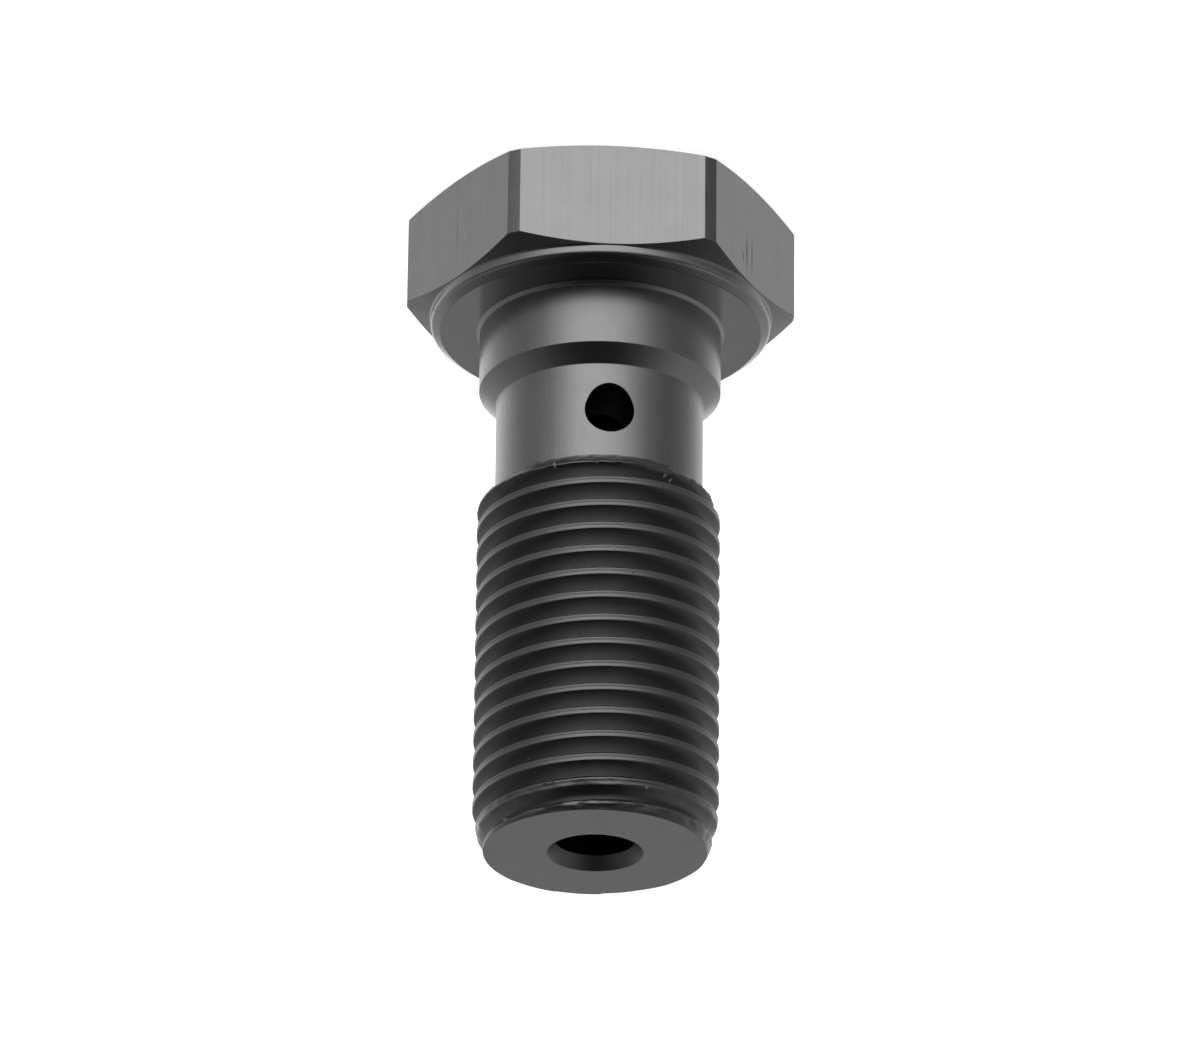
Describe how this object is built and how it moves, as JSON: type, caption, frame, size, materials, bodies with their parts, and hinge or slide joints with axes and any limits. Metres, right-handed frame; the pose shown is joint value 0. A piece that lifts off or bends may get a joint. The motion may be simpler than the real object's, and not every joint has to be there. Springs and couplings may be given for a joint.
{
  "type": "banjo bolt",
  "caption": "Hollow hexagon-head banjo bolt: a bore from the tip meets a cross hole in a reduced waist, to feed fluid into a ring fitting clamped under its head.",
  "frame": {"origin": "centre of the sealing face under the head, on the bolt's axis", "axes": "+Z along the axis from the head to the threaded tip, so the bolt stands on its head; one flat of the hexagon faces -Y and the nearest two corners are to its -X and +X sides"},
  "size_m": [0.0158, 0.014, 0.0281],
  "materials": {
    "dark_steel": "satin turned steel with a thin dark finish"
  },
  "bodies": {
    "root": {"banjo_bolt": "dark_steel"}
  },
  "joints": []
}
